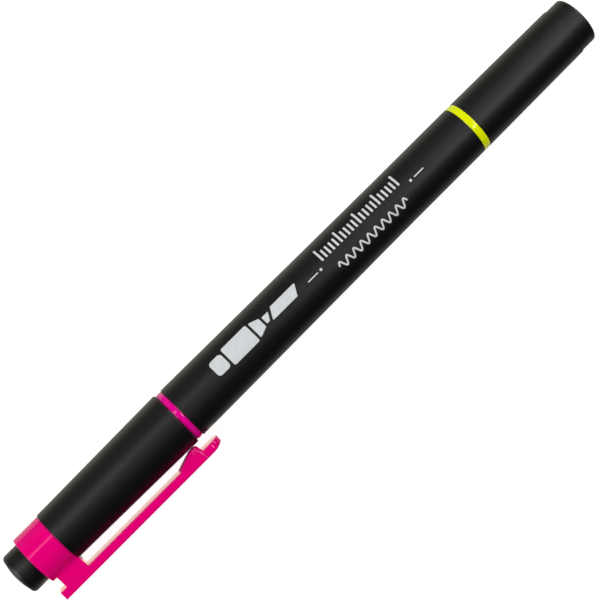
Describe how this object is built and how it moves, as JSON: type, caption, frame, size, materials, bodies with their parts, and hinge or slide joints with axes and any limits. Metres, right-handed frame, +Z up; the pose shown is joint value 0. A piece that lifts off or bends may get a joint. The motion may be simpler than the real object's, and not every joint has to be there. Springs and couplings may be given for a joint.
{
  "type": "double-ended highlighter",
  "caption": "Slim double-ended highlighter: a straight barrel with a chisel tip under a pull-off cap at each end, and a springy pocket clip on the wider cap.",
  "frame": {"origin": "on the pen's axis, at the centre of the plain cap's flat end face", "axes": "+X along the pen towards the plain cap's end, so the pen lies at negative X; +Z up; the clip points to -Y and leans down, as the pen rests on a table on its clip and on the clip cap's mouth"},
  "size_m": [0.143, 0.0148, 0.0114],
  "materials": {
    "black_plastic": "fine matte moulding",
    "pink_plastic": "gloss moulding",
    "yellow_plastic": "gloss moulding",
    "liner_plastic": "natural, slightly waxy",
    "film": "thin wrapped film",
    "pink_fibre": "bonded fibre, wet with ink",
    "yellow_fibre": "bonded fibre, wet with ink",
    "print_ink": "pad-printed light grey ink"
  },
  "bodies": {
    "barrel": {"barrel": "black_plastic", "barrel_divider": "liner_plastic", "pink_section": "pink_plastic", "pink_tip": "pink_fibre", "pink_reservoir": "pink_fibre", "pink_reservoir_film": "film", "yellow_section": "yellow_plastic", "yellow_tip": "yellow_fibre", "yellow_reservoir": "yellow_fibre", "yellow_reservoir_film": "film"},
    "pink_cap": {"pink_cap_tube": "black_plastic", "pink_inner_cap": "liner_plastic", "pink_cap_button": "black_plastic", "clip_collar": "pink_plastic"},
    "clip": {"clip_arm": "pink_plastic"},
    "yellow_cap": {"yellow_cap_tube": "black_plastic", "yellow_inner_cap": "liner_plastic", "yellow_cap_plug": "black_plastic"}
  },
  "joints": [
    {"name": "pink_cap_pull", "type": "slide", "parent": "barrel", "child": "pink_cap", "axis": [-1, 0, 0], "range_m": [0, 0.03]},
    {"name": "yellow_cap_pull", "type": "slide", "parent": "barrel", "child": "yellow_cap", "axis": [1, 0, 0], "range_m": [0, 0.03]},
    {"name": "clip_flex", "type": "hinge", "parent": "pink_cap", "child": "clip", "pos_m": [-0.1323, -0.00741, -0.00314], "axis": [0, 0.3905, -0.9206], "range_deg": [0, 5], "stiffness_Nm_per_rad": 0.3}
  ]
}
